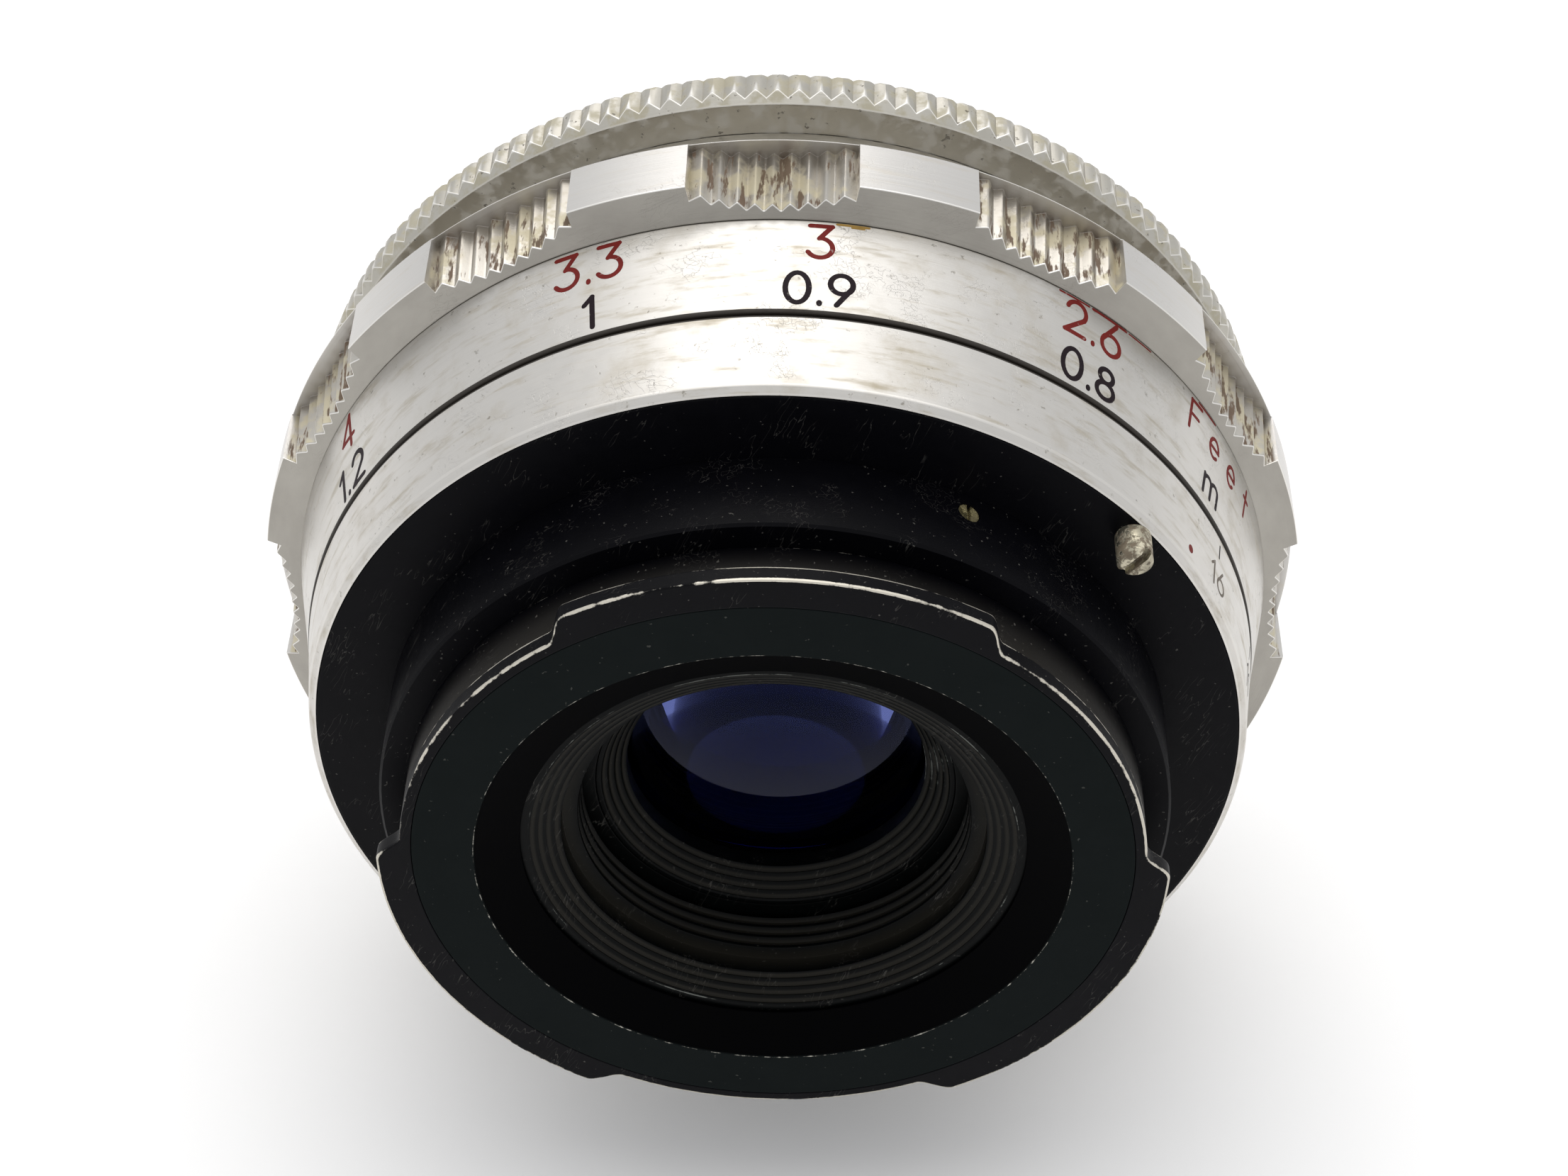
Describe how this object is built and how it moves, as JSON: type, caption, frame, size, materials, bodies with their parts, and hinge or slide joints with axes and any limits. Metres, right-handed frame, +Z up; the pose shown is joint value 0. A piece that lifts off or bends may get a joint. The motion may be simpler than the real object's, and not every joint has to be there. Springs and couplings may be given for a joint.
{
  "type": "prime camera lens",
  "caption": "Manual prime lens with a three-lug bayonet rear mount, engraved distance ring, scalloped focusing grip, knurled aperture ring and a working bladed iris.",
  "frame": {"origin": "on the optical axis, in the plane of the register face that meets the camera", "axes": "+Y along the optical axis towards the front of the lens; +Z up as the lens lies on its grip; +X to the right seen from the rear"},
  "size_m": [0.0622, 0.0361, 0.0622],
  "materials": {
    "black_mount": "black anodised, satin, worn bright on the edges",
    "black_matt": "black anodised, matt, anti-glare",
    "black_brass": "black-finished brass, satin",
    "satin_aluminium": "satin, turned lines, fine scratches",
    "grip_aluminium": "satin, cut knurls with brown-yellow grime",
    "knurl_brass": "satin plated brass, cut knurl with grime",
    "neck_brass": "dull plated brass with turned lines",
    "bare_brass": "bare, slightly tarnished",
    "pin_steel": "tarnished steel",
    "screw_steel": "bright steel",
    "blade_steel": "blackened spring steel",
    "coated_glass": "polished, violet-blue single coating"
  },
  "bodies": {
    "mount": {"bayonet_ring": "black_mount", "rear_cover_ring": "black_mount", "rear_baffle": "black_matt", "mount_barrel": "black_mount", "side_screw": "bare_brass", "flange_plate": "black_mount", "flange_screws": "screw_steel", "locating_pin": "pin_steel", "depth_scale_ring": "satin_aluminium", "fixed_barrel": "black_matt", "guide_keys": "bare_brass", "focus_retainer": "satin_aluminium", "focus_stop_block": "bare_brass", "stop_block_screws": "screw_steel"},
    "focus_ring": {"distance_scale_ring": "satin_aluminium", "focus_grip": "grip_aluminium", "grip_lock_ring": "bare_brass", "focus_helicoid": "bare_brass", "focus_stop_pin": "pin_steel"},
    "lens_unit": {"lens_barrel": "black_matt", "lens_helicoid": "bare_brass", "front_rim": "black_brass", "front_trim_ring": "black_brass", "front_cell": "black_brass", "front_retaining_ring": "black_brass", "glass_front": "coated_glass", "cell_spacer": "black_matt", "glass_middle": "coated_glass", "click_ball": "screw_steel", "click_spring": "screw_steel", "click_spring_screw": "screw_steel", "iris_base": "black_matt", "iris_cover": "black_matt", "iris_screws": "screw_steel", "rear_cell": "black_matt", "rear_retaining_ring": "black_matt", "glass_rear_inner": "coated_glass", "glass_rear_outer": "coated_glass"},
    "aperture_ring": {"aperture_grip": "knurl_brass", "aperture_neck": "neck_brass", "aperture_arm": "bare_brass", "arm_screws": "screw_steel", "aperture_cam": "bare_brass"},
    "blade_1": {"iris_blade_1": "blade_steel"},
    "blade_2": {"iris_blade_2": "blade_steel"},
    "blade_3": {"iris_blade_3": "blade_steel"},
    "blade_4": {"iris_blade_4": "blade_steel"},
    "blade_5": {"iris_blade_5": "blade_steel"},
    "blade_6": {"iris_blade_6": "blade_steel"},
    "blade_7": {"iris_blade_7": "blade_steel"},
    "blade_8": {"iris_blade_8": "blade_steel"}
  },
  "joints": [
    {"name": "focus_turn", "type": "hinge", "parent": "mount", "child": "focus_ring", "pos_m": [0, 0.009, 0], "axis": [0, -1, 0], "range_deg": [0, 278]},
    {"name": "lens_slide", "type": "slide", "parent": "mount", "child": "lens_unit", "axis": [0, 1, 0], "range_m": [0, 0.0036]},
    {"name": "aperture_turn", "type": "hinge", "parent": "lens_unit", "child": "aperture_ring", "pos_m": [0, 0.0236, 0], "axis": [0, 1, 0], "range_deg": [0, 37.5]},
    {"name": "blade_1_pivot", "type": "hinge", "parent": "lens_unit", "child": "blade_1", "pos_m": [0, 0.0058, 0.0156], "axis": [0, 1, 0], "range_deg": [0, 24.1]},
    {"name": "blade_2_pivot", "type": "hinge", "parent": "lens_unit", "child": "blade_2", "pos_m": [0.01103, 0.0058, 0.01103], "axis": [0, 1, 0], "range_deg": [0, 24.1]},
    {"name": "blade_3_pivot", "type": "hinge", "parent": "lens_unit", "child": "blade_3", "pos_m": [0.0156, 0.0058, 0], "axis": [0, 1, 0], "range_deg": [0, 24.1]},
    {"name": "blade_4_pivot", "type": "hinge", "parent": "lens_unit", "child": "blade_4", "pos_m": [0.01103, 0.0058, -0.01103], "axis": [0, 1, 0], "range_deg": [0, 24.1]},
    {"name": "blade_5_pivot", "type": "hinge", "parent": "lens_unit", "child": "blade_5", "pos_m": [0, 0.0058, -0.0156], "axis": [0, 1, 0], "range_deg": [0, 24.1]},
    {"name": "blade_6_pivot", "type": "hinge", "parent": "lens_unit", "child": "blade_6", "pos_m": [-0.01103, 0.0058, -0.01103], "axis": [0, 1, 0], "range_deg": [0, 24.1]},
    {"name": "blade_7_pivot", "type": "hinge", "parent": "lens_unit", "child": "blade_7", "pos_m": [-0.0156, 0.0058, 0], "axis": [0, 1, 0], "range_deg": [0, 24.1]},
    {"name": "blade_8_pivot", "type": "hinge", "parent": "lens_unit", "child": "blade_8", "pos_m": [-0.01103, 0.0058, 0.01103], "axis": [0, 1, 0], "range_deg": [0, 24.1]}
  ],
  "couplings": [
    {"joint": "lens_slide", "follows": "focus_turn", "m_per_rad": 0.00074196},
    {"joint": "blade_1_pivot", "follows": "aperture_turn", "ratio": 0.64},
    {"joint": "blade_2_pivot", "follows": "aperture_turn", "ratio": 0.64},
    {"joint": "blade_3_pivot", "follows": "aperture_turn", "ratio": 0.64},
    {"joint": "blade_4_pivot", "follows": "aperture_turn", "ratio": 0.64},
    {"joint": "blade_5_pivot", "follows": "aperture_turn", "ratio": 0.64},
    {"joint": "blade_6_pivot", "follows": "aperture_turn", "ratio": 0.64},
    {"joint": "blade_7_pivot", "follows": "aperture_turn", "ratio": 0.64},
    {"joint": "blade_8_pivot", "follows": "aperture_turn", "ratio": 0.64}
  ]
}
